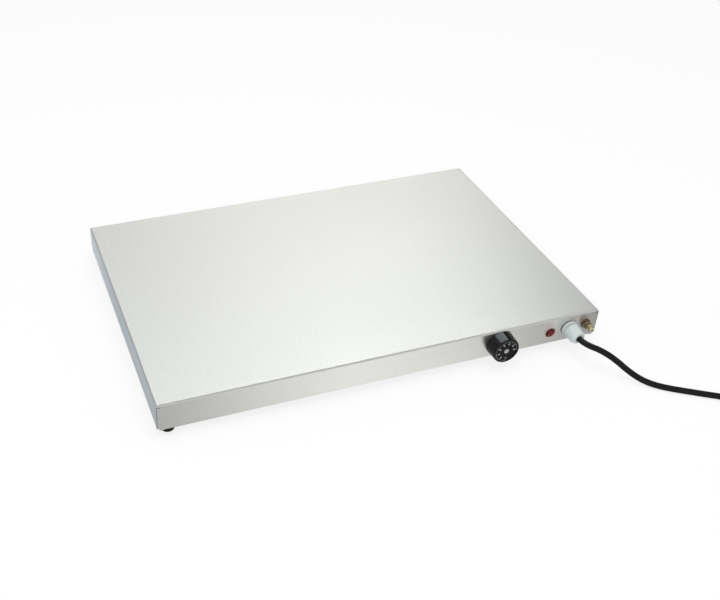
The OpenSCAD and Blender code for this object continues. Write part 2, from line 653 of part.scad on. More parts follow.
// Three-way terminal block on the base plate
block_x = 196;
block_y = y_front + 48;
block_w = 36;
way_pitch = 11;
way_xs = [for (i = [-1, 0, 1]) block_x + i * way_pitch];
z_way = z_low + 8;
module terminal_block() color("ivory") difference() {
    union() {
        translate([block_x, block_y, z_low]) rounded_plate(block_w, 20, 2, 6);
        for (x = way_xs) translate([x, block_y, z_low + 5]) rounded_plate(8.6, 17, 1.5, 10);
    }
    for (x = way_xs) {
        translate([x, block_y + 10, z_way]) rotate([90, 0, 0]) cylinder(h = 20, r = 2.75);
        translate([x, block_y, z_way + 2.5]) cylinder(h = 10, r = 2.4);
    }
}
module terminal_inserts() color("goldenrod") for (x = way_xs) {
    translate([x, block_y + 8, z_way]) rotate([90, 0, 0]) washer(2.7, 1.65, 16);
    translate([x, block_y, z_way + 2.7]) cylinder(h = 2.6, r = 2.1);
}

// Leads, grouped by colour. Each runs from point to point with rounded corners.
lead_r = 1.4;
module lead(p, first, last) tube(p, lead_r, 6, first, last);
block_front = block_y - 8;
block_rear = block_y + 8;
thermo_rear = y_thermostat + thermostat_d + 5;
pin_y = leg_front - 50 - 20;
module live_leads() color("saddlebrown") {
    lead([[gland_x - 2, cord_inner_end, control_z], [254, -151, 30], [244, -148, 27], [222, -150, 22.5],
        [212, -156, 20.5], [way_xs[2] + 0.5, -155.5, 19], [way_xs[2], -151, z_way],
        [way_xs[2], block_front, z_way]], [0, 1, 0], [0, 1, 0]);
    lead([[way_xs[2], block_rear, z_way], [way_xs[2] - 1, -126, z_way], [196, -122, 24], [180, -124, 26],
        [169, -134, 23.5], [knob_x + 15, thermo_rear + 3, 23]], [0, 1, 0], [0, -1, 0]);
    lead([[knob_x + 15, thermo_rear + 3, 37], [170, -138, 38], [190, -127, 39], [216, -124, 40],
        [236, -128, 41], [-leg_x0, pin_y - 8, 41], [-leg_x0, pin_y - 1, z_element]],
        [0, 1, 0], [0, 1, 1]);
}
module neutral_leads() color("royalblue") {
    lead([[gland_x + 2, cord_inner_end, control_z - 1.4], [258, -150, 26], [246, -146, 21], [228, -151, 18],
        [212, -160.5, 17], [200, -162, 17], [way_xs[1] + 0.3, -158, 17.8], [way_xs[1], -152.5, z_way],
        [way_xs[1], block_front, z_way]], [0, 1, 0], [0, 1, 0]);
    lead([[way_xs[1], block_rear, z_way], [way_xs[1], -127, 17.9], [192, -119, 19], [180, -117, 19],
        [160, -119, 17], [120, -121, 15], [0, -121, 15], [-120, -121, 15], [-210, -121, 17],
        [-236, -124, 24], [leg_x0, -136, 34], [leg_x0, pin_y - 8, 39],
        [leg_x0, pin_y - 1, z_element]], [0, 1, 0], [0, 1, 1]);
}
module earth_leads() color("yellowgreen") {
    lead([[gland_x, cord_inner_end, control_z + 2.3], [256, -149, 32], [248, -141, 27], [232, -143, 18],
        [218, -155, 13.2], [204, -165.5, 12.9], [190, -166, 13.4], [way_xs[0] + 0.3, -161, 16],
        [way_xs[0], -154, z_way], [way_xs[0], block_front, z_way]], [0, 1, 0], [0, 1, 0]);
    // From the block to the lug on the bonding terminal
    y_lug = y_inner + 5.1;
    lead([[way_xs[0], block_rear, z_way], [way_xs[0], -127, 17], [187, -121, 13], [196, -117, 12.6],
        [240, -118, 12.6], [268, -134, 13], [bond_x - 4, -155, 13.6], [bond_x - 4, -172, 13.6],
        [bond_x - 1.5, y_lug + 1, 13.8], [bond_x, y_lug, 15.2], [bond_x, y_lug, bond_z - 15]],
        [0, 1, 0], [0, 0, 1]);
}

// Stored coil, tie, tail and plug
module supply_cord() color([0.05, 0.05, 0.05]) tube(supply_path, cord_r, 10, [0, -1, 0], coil_start_dir);
module cord_coil() color([0.05, 0.05, 0.05]) tube(coil_path, cord_r, 6, coil_start_dir, coil_end_dir);
module cord_tail() color([0.05, 0.05, 0.05]) tube(tail_path, cord_r, 10, coil_end_dir, [0, 1, 0]);
// The tie goes round all the turns where they lie flat on each other
tie_angle = 100;
tie_t = 0.8;
tie_gap = 0.25;
tie_corner = 4;
tie_turns = [for (n = [0 : 3]) coil_at((tie_angle - coil_entry + 360) / 360 + n)];
tie_radii = [for (p = tie_turns) norm([p[0] - coil_x, p[1] - coil_y])];
module tie_2d(w, h) {
    square([w - 2 * tie_corner, h], center = true);
    square([w, h - 2 * tie_corner], center = true);
    for (sx = [-1, 1]) for (sy = [-1, 1])
        translate([sx * (w / 2 - tie_corner), sy * (h / 2 - tie_corner)]) circle(tie_corner);
}
module cord_tie() color([0.1, 0.1, 0.1]) {
    mid_r = (min(tie_radii) + max(tie_radii)) / 2;
    w = max(tie_radii) - min(tie_radii) + cord_d + 4 * tie_gap;
    h = coil_pitch + cord_d + 2 * tie_gap;
    translate([coil_x + mid_r * cos(tie_angle), coil_y + mid_r * sin(tie_angle),
        coil_z + coil_pitch / 2]) rotate([90, 0, tie_angle]) translate([0, 0, -3])
        linear_extrude(6) difference() {
            tie_2d(w + 2 * tie_t, h + 2 * tie_t);
            tie_2d(w, h);
        }
}

// Two-pin plug with side earthing contacts, lying on the floor with its pins along +Y
plug_r = 19.3;
plug_face = plug_back + 34;
pin_spacing = 19;
module plug_body() color([0.05, 0.05, 0.05]) translate([plug_x, plug_back, plug_z])
    rotate([-90, 0, 0]) difference() {
        union() {
            // Strain relief, shoulder, grip and the full round of the face
            translate([0, 0, -24]) cylinder(h = 26, r1 = 5.4, r2 = 7.6);
            translate([0, 0, 2]) cylinder(h = 10, r1 = 7.6, r2 = 15);
            translate([0, 0, 12]) cylinder(h = 8, r1 = 15, r2 = plug_r);
            translate([0, 0, 20]) cylinder(h = 14, r = plug_r);
        }
        // Flats and contact slots on both sides
        for (s = [-1, 1]) {
            translate([-30, s * 27 - 10, 21]) cube([60, 20, 30]);
            translate([-2.6, s * 16.2 - 1.4, 14]) cube([5.2, 2.8, 30]);
        }
        // Ribs of the strain relief are the ridges between these grooves
        for (z = [-21, -16, -11, -6]) translate([0, 0, z]) difference() {
            cylinder(h = 2, r = 9);
            translate([0, 0, -1]) cylinder(h = 4, r = 4.9 + (z + 24) * 0.06);
        }
        translate([0, 0, -25]) cylinder(h = 1, r = 6);
        for (s = [-1, 1]) translate([s * pin_spacing / 2, 0, 24]) cylinder(h = 20, r = 2);
        translate([0, 5.5, 20]) cylinder(h = 20, r = 2.4);
    }
module plug_pins() color("silver") for (s = [-1, 1])
    translate([plug_x + s * pin_spacing / 2, plug_face - 10, plug_z]) rotate([-90, 0, 0]) {
        cylinder(h = 10, r = 2);
        translate([0, 0, 10]) cylinder(h = 17.4, r = 2.4);
        translate([0, 0, 27.4]) cylinder(h = 1.6, r1 = 2.4, r2 = 1.4);
    }
module plug_contacts() color("silver") for (s = [-1, 1])
    translate([plug_x - 2.4, plug_back + 14, plug_z + s * 16.2 - 0.5]) cube([4.8, 20, 1]);

casing();
weld_studs();
base_plate();
base_screws();
foot_front_left();
foot_front_right();
foot_back_left();
foot_back_right();
foot_screws();
foot_washers();
foot_nuts();
heat_spreader();
heating_element();
element_seals();
element_pins();
clamp_bars();
clamp_nuts();
tray_nuts();
insulation();
insulation_tray();
thermostat_body();
thermostat_plate();
thermostat_tabs();
thermostat_screws();
thermostat_shaft();
sensor_bulb();
bulb_clip();
capillary();
knob();
knob_spring();
knob_cap();
lamp_lens();
lamp_bezel();
lamp_body();
lamp_clip();
lamp_tabs();
gland_body();
gland_nut();
gland_seal();
gland_gasket();
gland_locknut();
cord_end();
bond_stud();
bond_nuts();
bond_washers();
bond_lug();
terminal_block();
terminal_inserts();
live_leads();
neutral_leads();
earth_leads();
supply_cord();
cord_coil();
cord_tail();
cord_tie();
plug_body();
plug_pins();
plug_contacts();
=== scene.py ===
"""Looks for the electric food warmer tray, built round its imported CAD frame."""
import json
import math

import bmesh
import bpy
from mathutils import Matrix, Vector


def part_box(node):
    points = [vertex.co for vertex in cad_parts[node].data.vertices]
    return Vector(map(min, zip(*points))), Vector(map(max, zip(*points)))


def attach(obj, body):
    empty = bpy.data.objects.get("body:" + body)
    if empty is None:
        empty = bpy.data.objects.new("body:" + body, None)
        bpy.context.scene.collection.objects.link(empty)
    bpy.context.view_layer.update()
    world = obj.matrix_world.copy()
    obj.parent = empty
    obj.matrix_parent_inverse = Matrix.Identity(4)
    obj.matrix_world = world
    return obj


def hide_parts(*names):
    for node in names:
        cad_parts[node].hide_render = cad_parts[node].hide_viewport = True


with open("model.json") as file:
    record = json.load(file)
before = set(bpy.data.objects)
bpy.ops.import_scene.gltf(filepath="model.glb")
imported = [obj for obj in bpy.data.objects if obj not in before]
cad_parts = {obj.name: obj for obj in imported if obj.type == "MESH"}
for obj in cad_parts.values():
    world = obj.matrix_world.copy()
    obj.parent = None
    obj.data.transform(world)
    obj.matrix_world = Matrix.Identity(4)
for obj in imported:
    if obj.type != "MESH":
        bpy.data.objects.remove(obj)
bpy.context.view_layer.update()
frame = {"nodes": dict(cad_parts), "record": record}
nodes = frame["nodes"]
scene = bpy.context.scene

MM = 0.001
# Centres of the front's fittings, on the outer face of the front panel
FRONT_Y = -0.1875
KNOB = Vector((0.1535, FRONT_Y, 0.030))
LAMP = Vector((0.228, FRONT_Y, 0.030))
BOND = Vector((0.2825, FRONT_Y, 0.032))

# ---------------------------------------------------------------- camera
CAMERA_AZIMUTH, CAMERA_ELEVATION, CAMERA_ROLL = (math.radians(a) for a in (-21.582, 36.714, 2.251))
CAMERA_PLACE = Vector((-0.46074, -1.03133, 0.84051))


def add_camera():
    """The photograph's camera, fitted to the casing's straight edges."""
    az, el, roll = CAMERA_AZIMUTH, CAMERA_ELEVATION, CAMERA_ROLL
    back = Vector((math.sin(az) * math.cos(el), -math.cos(az) * math.cos(el), math.sin(el)))
    right = Vector((math.cos(az), math.sin(az), 0))
    up = back.cross(right)
    axes = (math.cos(roll) * right + math.sin(roll) * up,
            -math.sin(roll) * right + math.cos(roll) * up, back)
    camera = bpy.data.objects.new("camera", bpy.data.cameras.new("camera"))
    scene.collection.objects.link(camera)
    camera.matrix_world = Matrix.Translation(CAMERA_PLACE) @ Matrix(axes).transposed().to_4x4()
    camera.data.lens = 49.98
    camera.data.sensor_width = 36
    camera.data.shift_x = 0.0833
    camera.data.clip_start = 0.01
    scene.camera = camera


add_camera()

# ---------------------------------------------------------------- supply cord
CORD_D = 8 * MM
# The coil, in mm and degrees, as in part.scad
COIL_CENTRE = (486, -342)
COIL_ENTRY, COIL_PITCH, COIL_Z, COIL_TURNS, COIL_R = 233, 8.6, 5.1, 4.353, 53
COIL_POINTS_A_TURN = 24
# Straight lead into and out of the coil
COIL_LEAD = 8
# From the gland to the coil, and from the coil to the plug, in mm
ROUTE = [
    (257.5, -212.5, 30), (258.6, -221.4, 30.6), (262.4, -231.6, 31.2), (268.8, -240.8, 31),
    (277, -250.6, 28), (286, -261, 22.2), (295, -270.5, 14.8), (304, -281.3, 9.2), (313, -291, 6),
    (323, -300, 4.6), (335, -309, 4.2), (350, -319, 4.2), (368, -330.5, 4.2), (388, -343, 4.2),
    (408, -355.5, 4.3), (428, -368.5, 4.6)]
TAIL = [(541.2, -322, 13.9), (541.3, -308, 14.9), (540.9, -292, 16.8), (540.3, -275, 18.9),
        (540, -260, 19.5)]


def coil_at(t):
    """The coil's centre line after t turns: it winds inward, steps up, and winds outward."""
    r = COIL_R - COIL_PITCH * min(t, COIL_TURNS - t)
    a = math.radians(COIL_ENTRY + 360 * t)
    s = max(0, min(1, (t - COIL_TURNS / 2 + 0.25) / 0.5))
    lift = s * s * (3 - 2 * s)
    return (COIL_CENTRE[0] + r * math.cos(a), COIL_CENTRE[1] + r * math.sin(a),
            COIL_Z + COIL_PITCH * lift)


def extended(p, q, distance):
    """The point beyond p on the line from q to p."""
    p, q = Vector(p), Vector(q)
    return tuple(p + distance * (p - q).normalized())


def add_cord():
    """One round cord along the centre line of the CAD's cord, coil and tail."""
    steps = round(COIL_TURNS * COIL_POINTS_A_TURN)
    coil = [coil_at(COIL_TURNS * i / steps) for i in range(steps + 1)]
    coil = ([extended(coil[0], coil[1], COIL_LEAD)] + coil
            + [extended(coil[-1], coil[-2], COIL_LEAD)])
    line = ROUTE + coil + TAIL
    curve = bpy.data.curves.new("cord", "CURVE")
    curve.dimensions = "3D"
    # The points' radius sets the thickness
    curve.bevel_depth = 1
    curve.bevel_resolution = 8
    curve.resolution_u = 6
    curve.use_fill_caps = True
    spline = curve.splines.new("BEZIER")
    spline.bezier_points.add(len(line) - 1)
    for point, place in zip(spline.bezier_points, line):
        point.co = Vector(place) * MM
        point.handle_left_type = point.handle_right_type = "AUTO"
        point.radius = CORD_D / 2
    cord = bpy.data.objects.new("cord", curve)
    scene.collection.objects.link(cord)
    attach(cord, "housing")
    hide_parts("supply_cord", "cord_coil", "cord_tail")
    return cord


cord = add_cord()


# ---------------------------------------------------------------- material helpers
class Graph:
    """Short helpers for building a node tree."""

    def __init__(self, tree):
        self.tree = tree

    def node(self, kind, **values):
        made = self.tree.nodes.new(kind)
        for key, value in values.items():
            setattr(made, key, value)
        return made

    def join(self, a, b):
        self.tree.links.new(a, b)

    def math(self, operation, *terms):
        """A Math node whose terms are sockets or plain numbers."""
        made = self.node("ShaderNodeMath", operation=operation)
        for socket, term in zip(made.inputs, terms):
            if isinstance(term, (int, float)):
                socket.default_value = term
            else:
                self.join(term, socket)
        return made.outputs[0]

    def spread(self, source, low, high, start=0.3, end=0.7, smooth=False):
        """Maps source from start..end to low..high, and clamps it there."""
        made = self.node("ShaderNodeMapRange")
        if smooth:
            made.interpolation_type = "SMOOTHSTEP"
        made.inputs["From Min"].default_value = start
        made.inputs["From Max"].default_value = end
        made.inputs["To Min"].default_value = low
        made.inputs["To Max"].default_value = high
        self.join(source, made.inputs["Value"])
        return made.outputs["Result"]

    def ramp(self, source, stops):
        """A colour ramp through (position, colour) stops, eased where there are over two."""
        made = self.node("ShaderNodeValToRGB")
        elements = made.color_ramp.elements
        made.color_ramp.interpolation = "EASE" if len(stops) > 2 else "LINEAR"
        while len(elements) < len(stops):
            elements.new(0.5)
        for element, (position, color) in zip(elements, stops):
            element.position = position
            element.color = (*color, 1)
        self.join(source, made.inputs["Fac"])
        return made.outputs["Color"]


class Shader(Graph):
    """A Principled material with helpers for what feeds it."""

    def __init__(self, name, color, roughness, metallic=0.0, **constants):
        self.material = bpy.data.materials.new(name)
        self.material.use_nodes = True
        super().__init__(self.material.node_tree)
        self.bsdf = self.tree.nodes["Principled BSDF"]
        self.bsdf.inputs["Base Color"].default_value = (*color, 1)
        self.bsdf.inputs["Roughness"].default_value = roughness
        self.bsdf.inputs["Metallic"].default_value = metallic
        for key, value in constants.items():
            self.bsdf.inputs[key.replace("_", " ")].default_value = value
        self.color = color
        self.roughness = roughness
        self.coords = self.node("ShaderNodeTexCoord").outputs["Object"]
        self.last_bump = None

    def mapped(self, scale, source=None):
        """Object coordinates, or source, scaled along each axis."""
        mapping = self.node("ShaderNodeMapping")
        mapping.inputs["Scale"].default_value = scale
        self.join(source or self.coords, mapping.inputs["Vector"])
        return mapping.outputs["Vector"]

    def noise(self, scale, detail=3.0, rough=0.5, stretch=(1, 1, 1), source=None):
        made = self.node("ShaderNodeTexNoise")
        made.inputs["Scale"].default_value = scale
        made.inputs["Detail"].default_value = detail
        made.inputs["Roughness"].default_value = rough
        self.join(self.mapped(stretch, source), made.inputs["Vector"])
        return made.outputs["Fac"]

    def vary_roughness(self, source, amount, start=0.3, end=0.7):
        out = self.spread(source, self.roughness - amount, self.roughness + amount, start, end)
        self.join(out, self.bsdf.inputs["Roughness"])

    def vary_color(self, source, dark, light, start=0.3, end=0.7):
        self.join(self.ramp(source, [(start, dark), (end, light)]), self.bsdf.inputs["Base Color"])

    def bump(self, source, strength, distance):
        made = self.node("ShaderNodeBump")
        made.inputs["Strength"].default_value = strength
        made.inputs["Distance"].default_value = distance
        self.join(source, made.inputs["Height"])
        if self.last_bump:
            self.join(self.last_bump, made.inputs["Normal"])
        self.last_bump = made.outputs["Normal"]
        self.join(self.last_bump, self.bsdf.inputs["Normal"])


def tint(color, k):
    """A darker or lighter shade of color."""
    return tuple(min(1, c * k) for c in color)


def simple(name, color, roughness, metallic=0.0, grain=900, depth=0.00003, change=0.12,
           **constants):
    """A finish with gentle colour and gloss variation and a fine surface texture."""
    s = Shader(name, color, roughness, metallic, **constants)
    broad = s.noise(60, 4)
    s.vary_color(broad, tint(color, 1 - change), tint(color, 1 + change))
    s.vary_roughness(s.noise(180, 3), min(0.08, roughness * 0.3))
    s.bump(s.noise(grain, 2), 0.35, depth)
    return s


def brushed():
    """Satin stainless sheet: the grain runs along the sheet and down round its folds."""
    color = (0.80, 0.795, 0.762)
    s = Shader("stainless", color, 0.36, 1.0, Anisotropic=0.4)
    tangent = s.node("ShaderNodeTangent", direction_type="RADIAL", axis="X")
    s.join(tangent.outputs["Tangent"], s.bsdf.inputs["Tangent"])
    place = s.node("ShaderNodeSeparateXYZ")
    s.join(s.coords, place.inputs["Vector"])
    facing = s.node("ShaderNodeSeparateXYZ")
    s.join(s.node("ShaderNodeTexCoord").outputs["Normal"], facing.inputs["Vector"])
    down_front = s.math("MULTIPLY", place.outputs["Z"], s.math("ABSOLUTE", facing.outputs["Y"]))
    sheet = s.node("ShaderNodeCombineXYZ")
    s.join(s.math("ADD", place.outputs["X"], place.outputs["Z"]), sheet.inputs["X"])
    s.join(s.math("ADD", place.outputs["Y"], down_front), sheet.inputs["Y"])
    grain = s.noise(1, 3, 0.6, (35, 2600, 1), sheet.outputs["Vector"])
    speckle = s.noise(1, 2, 0.5, (430, 520, 1), sheet.outputs["Vector"])
    s.vary_color(speckle, tint(color, 0.91), tint(color, 1.06), 0.25, 0.75)
    s.vary_roughness(s.noise(5, 3, 0.5), 0.015)
    s.bump(grain, 0.14, 0.00004)
    s.bump(speckle, 0.06, 0.00004)
    return s


def zinc():
    """Galvanised sheet with a faint spangle."""
    color = (0.58, 0.60, 0.61)
    s = Shader("galvanised", color, 0.42, 1.0)
    cells = s.node("ShaderNodeTexVoronoi", feature="F1")
    cells.inputs["Scale"].default_value = 110
    s.join(s.coords, cells.inputs["Vector"])
    shade = s.node("ShaderNodeSeparateColor")
    s.join(cells.outputs["Color"], shade.inputs["Color"])
    s.vary_color(shade.outputs["Red"], tint(color, 0.86), tint(color, 1.12), 0.0, 1.0)
    s.vary_roughness(shade.outputs["Green"], 0.07, 0.0, 1.0)
    s.bump(s.noise(700, 3), 0.2, 0.00003)
    return s


def turned(name, color, roughness):
    """Lathe-turned metal: fine rings round the front-to-back axis."""
    s = Shader(name, color, roughness, 1.0)
    s.vary_color(s.noise(260, 4), tint(color, 0.75), tint(color, 1.15))
    s.vary_roughness(s.noise(400, 3), 0.06)
    s.bump(s.noise(1, 2, 0.5, (250, 5200, 250)), 0.22, 0.00004)
    return s


def brass_with_painted_shade():
    """Brass with painted shade: nuts near the panel are darker than the nut further out, for the
    shade that falls between the parts.
    """
    # inner is the painted shade colour, outer the brass's own colour
    inner, outer, change_y = (0.52, 0.43, 0.34), (0.66, 0.56, 0.34), FRONT_Y - 6.5 * MM
    s = turned("brass_with_painted_shade", outer, 0.24)
    place = s.node("ShaderNodeSeparateXYZ")
    s.join(s.coords, place.inputs["Vector"])
    # Painted shade: the brass turns to the darker inner colour from 6.5 mm out back to the panel
    near = s.spread(place.outputs["Y"], 0, 1, change_y, change_y + 0.2 * MM)
    s.join(s.ramp(near, [(0, outer), (1, inner)]), s.bsdf.inputs["Base Color"])
    return s


def lens_red():
    """Red moulding, darker where it is thick at its rim."""
    middle, between, rim = (0.23, 0.022, 0.020), (0.14, 0.009, 0.008), (0.020, 0.001, 0.001)
    s = Shader("lens_red", middle, 0.08, 0.0, Specular_IOR_Level=0.4)
    place = s.node("ShaderNodeVectorMath", operation="DISTANCE")
    s.join(s.coords, place.inputs[0])
    place.inputs[1].default_value = LAMP + Vector((0, -2 * MM, 0))
    outward = s.spread(place.outputs["Value"], 0, 1, 2 * MM, 6.6 * MM)
    s.join(s.ramp(outward, [(0, middle), (0.4, between), (0.85, rim)]),
           s.bsdf.inputs["Base Color"])
    s.bump(s.noise(900, 2), 0.15, 0.00003)
    return s


def wool():
    """Loose yellow fibres."""
    color = (0.72, 0.62, 0.36)
    s = Shader("mineral_wool", color, 0.95)
    s.vary_color(s.noise(300, 6, 0.7), tint(color, 0.6), tint(color, 1.2))
    s.bump(s.noise(600, 6, 0.7), 1.0, 0.0006)
    return s


def printing():
    """Slightly worn off-white print."""
    s = Shader("dial_print", (0.82, 0.82, 0.80), 0.5)
    s.vary_color(s.noise(900, 3), (0.36, 0.36, 0.35), (0.68, 0.68, 0.66), 0.35, 0.6)
    return s


def striped_lead():
    """Green insulation with yellow patches."""
    s = Shader("lead_green", (0.10, 0.35, 0.05), 0.45)
    s.vary_color(s.noise(120, 1), (0.08, 0.33, 0.05), (0.75, 0.62, 0.05), 0.48, 0.52)
    s.bump(s.noise(900, 2), 0.2, 0.00003)
    return s


MATERIALS = {
    "stainless": brushed(),
    "galvanised": zinc(),
    "steel_hardware": simple("steel_hardware", (0.62, 0.62, 0.61), 0.34, 1.0),
    "rubber": simple("rubber", (0.006, 0.006, 0.006), 0.62, grain=1400, depth=0.00006,
                     Specular_IOR_Level=0.25),
    "aluminium": simple("aluminium", (0.78, 0.79, 0.80), 0.38, 1.0),
    "element_sheath": simple("element_sheath", (0.30, 0.28, 0.26), 0.5, 1.0, change=0.25),
    "ceramic": simple("ceramic", (0.85, 0.83, 0.78), 0.6),
    "mineral_wool": wool(),
    "bakelite": simple("bakelite", (0.06, 0.04, 0.03), 0.4),
    "copper": simple("copper", (0.80, 0.42, 0.27), 0.3, 1.0),
    "knob_black": simple("knob_black", (0.004, 0.0035, 0.0035), 0.10, grain=500, depth=0.00001,
                         IOR=1.35),
    "cap_grey": simple("cap_grey", (0.36, 0.36, 0.365), 0.35),
    "lens_red": lens_red(),
    "bezel": simple("bezel", (0.60, 0.47, 0.43), 0.30, 0.3),
    "ivory_plastic": simple("ivory_plastic", (0.80, 0.76, 0.64), 0.45),
    "gland_grey": simple("gland_grey", (0.60, 0.655, 0.645), 0.32, grain=1600, depth=0.00004,
                         change=0.05),
    "seal_rubber": simple("seal_rubber", (0.06, 0.065, 0.065), 0.6),
    "brass": turned("brass", (0.80, 0.70, 0.48), 0.24),
    # Painted shade: the washers between the panel and the nuts in a dark brown, for the shade in
    # the gaps between the parts
    "washer_painted_shade": turned("washer_painted_shade", (0.30, 0.23, 0.165), 0.34),
    # Brass with painted shade near the panel, for the terminal's nuts
    "brass_with_painted_shade": brass_with_painted_shade(),
    "lead_brown": simple("lead_brown", (0.16, 0.07, 0.035), 0.45),
    "lead_blue": simple("lead_blue", (0.03, 0.12, 0.42), 0.45),
    "lead_green": striped_lead(),
    "cord_black": simple("cord_black", (0.007, 0.0065, 0.0065), 0.40, grain=1200, depth=0.00005,
                         Specular_IOR_Level=0.2),
    "dial_black": simple("dial_black", (0.010, 0.0095, 0.0095), 0.5, grain=1500, depth=0.00003,
                         Specular_IOR_Level=0.12),
    "dial_print": printing(),
    "seam": simple("seam", (0.10, 0.11, 0.12), 0.5, 0.6),
    "tie_black": simple("tie_black", (0.02, 0.02, 0.02), 0.4),
    "plug_black": simple("plug_black", (0.010, 0.010, 0.010), 0.48, grain=1500, depth=0.00008,
                         Specular_IOR_Level=0.3),
    "plug_metal": simple("plug_metal", (0.74, 0.72, 0.66), 0.22, 1.0),
}
SLOT_OF_NODE = {p["node"]: p["material_slot"] for p in frame["record"]["subparts"]}


def dress(obj, finish):
    """Gives a piece one material and nothing else."""
    obj.data.materials.clear()
    obj.data.materials.append(MATERIALS[finish].material)


for name, obj in nodes.items():
    dress(obj, SLOT_OF_NODE[name])
# The terminal's nuts take painted shade, darker towards the panel
dress(nodes["bond_nuts"], "brass_with_painted_shade")
# Painted shade on the washers: dark brown for the shade between the panel and the nuts
dress(nodes["bond_washers"], "washer_painted_shade")
dress(cord, "cord_black")


# ---------------------------------------------------------------- mesh helpers
SHARP_ANGLE = math.radians(35)


def add_piece(name, mesh, body, finish):
    """A new piece of the object, riding on body."""
    obj = bpy.data.objects.new(name, mesh)
    scene.collection.objects.link(obj)
    dress(obj, finish)
    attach(obj, body)
    return obj


def add_mesh(name, bm, body, finish, smooth=True):
    """A new piece from bm, shaded smooth between its sharp edges."""
    mesh = bpy.data.meshes.new(name)
    bm.to_mesh(mesh)
    bm.free()
    if smooth:
        for face in mesh.polygons:
            face.use_smooth = True
        mesh.set_sharp_from_angle(angle=SHARP_ANGLE)
    return add_piece(name, mesh, body, finish)


def lathe(bm, profile, centre, steps=96, rib=None):
    """Turns (radius, reach) pairs, in mm, about the front-to-back axis through centre.

    rib(angle, reach) is added to the radius.
    """
    rings = []
    for r, reach in profile:
        ring = []
        for i in range(steps):
            a = 2 * math.pi * i / steps
            radius = r + (rib(a, reach) if rib else 0)
            ring.append(bm.verts.new((centre.x + radius * MM * math.sin(a), centre.y - reach * MM,
                                      centre.z + radius * MM * math.cos(a))))
        rings.append(ring)
    for low, high in zip(rings, rings[1:]):
        for i in range(steps):
            j = (i + 1) % steps
            bm.faces.new((low[i], low[j], high[j], high[i]))
    bm.faces.new(rings[-1])
    bm.faces.new(list(reversed(rings[0])))
    bmesh.ops.recalc_face_normals(bm, faces=bm.faces)


# ---------------------------------------------------------------- pilot lamp's lens
def jewel_lens():
    """A cut lens: a round girdle, a ring of facets and a flat table."""
    bm = bmesh.new()
    sides = 10
    # Radius and reach in mm, and the turn as a share of a side: base, girdle, crown, table
    rows = [(6.9, 0.55, 0), (6.9, 1.7, 0), (5.6, 2.6, 0.5), (3.0, 3.35, 0)]
    rings = []
    for r, reach, turn in rows:
        rings.append([bm.verts.new(LAMP + Vector((r * math.sin(a), -reach, r * math.cos(a))) * MM)
                      for a in (2 * math.pi * (i + turn) / sides for i in range(sides))])
    base, girdle, crown, table = rings
    for i in range(sides):
        j = (i + 1) % sides
        bm.faces.new((base[i], base[j], girdle[j], girdle[i]))
        bm.faces.new((girdle[i], girdle[j], crown[i]))
        bm.faces.new((girdle[j], crown[j], crown[i]))
        bm.faces.new((crown[i], crown[j], table[j]))
        bm.faces.new((crown[i], table[j], table[i]))
    bm.faces.new(table)
    bm.faces.new(list(reversed(base)))
    bmesh.ops.recalc_face_normals(bm, faces=bm.faces)
    lens = add_mesh("faceted_lens", bm, "housing", "lens_red", smooth=False)
    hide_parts("lamp_lens")


jewel_lens()


# ---------------------------------------------------------------- bonding stud's thread
def threaded_stud():
    """The stud with its M5 thread; it has the CAD stud's ends and outside radius."""
    low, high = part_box("bond_stud")
    inner, tip = (FRONT_Y - high[1]) / MM, (FRONT_Y - low[1]) / MM
    radius, tip_radius, pitch, depth, chamfer, step = 2.5, 2.1, 0.8, 0.42, 0.8, 0.1

    def thread(a, reach):
        turn = (reach / pitch - a / (2 * math.pi)) % 1
        return -depth * abs(2 * turn - 1)

    length = tip - inner - chamfer
    steps = round(length / step)
    profile = [(radius, inner + length * i / steps) for i in range(steps + 1)]
    profile.append((tip_radius, tip))
    bm = bmesh.new()
    lathe(bm, profile, BOND, steps=32, rib=thread)
    stud = add_mesh("threaded_stud", bm, "housing", "brass")
    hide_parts("bond_stud")


threaded_stud()


# ---------------------------------------------------------------- corner seams
def corner_seams():
    """The dark line where two skirts meet at each upright corner of the casing."""
    low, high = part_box("casing")
    # Between the skirt's rounded lower corner and the top's fold
    z0, z1 = low[2] + 8 * MM, high[2] - 2.6 * MM
    width, proud = 0.55 * MM, 0.03 * MM
    bm = bmesh.new()
    for x, sx in ((low[0], -1), (high[0], 1)):
        for y, sy in ((low[1], -1), (high[1], 1)):
            outline = [(x - sx * width, y), (x - sx * width, y + sy * proud),
                       (x + sx * proud, y + sy * proud), (x + sx * proud, y - sy * width),
                       (x, y - sy * width), (x, y)]
            rings = [[bm.verts.new((px, py, z)) for px, py in outline] for z in (z0, z1)]
            for i in range(len(outline)):
                j = (i + 1) % len(outline)
                bm.faces.new((rings[0][i], rings[0][j], rings[1][j], rings[1][i]))
            for ring in rings:
                a, b, c, d, e, f = ring
                bm.faces.new((a, b, c, f))
                bm.faces.new((c, d, e, f))
    bmesh.ops.recalc_face_normals(bm, faces=bm.faces)
    add_mesh("corner_seams", bm, "housing", "seam", smooth=False)


corner_seams()


# ---------------------------------------------------------------- knob dial
DIAL_START, DIAL_SWEEP = 180, 270
DIAL_REACH = 17.53
LABELS = ["0", "30", "40", "50", "60", "70", "80", "90"]
LABEL_R, LABEL_SIZE = 10.9, 3.5
TICKS_A_LABEL = 5
TICK_OUTER, TICK_INNER, TICK_WIDTH = 15.4, 14.2, 0.28
LONG_TICK_INNER, LONG_TICK_WIDTH = 13.6, 0.40


def on_dial(x, z):
    """A place on the knob's dial, given in mm from its centre."""
    return Vector((KNOB.x + x * MM, FRONT_Y - DIAL_REACH * MM, KNOB.z + z * MM))


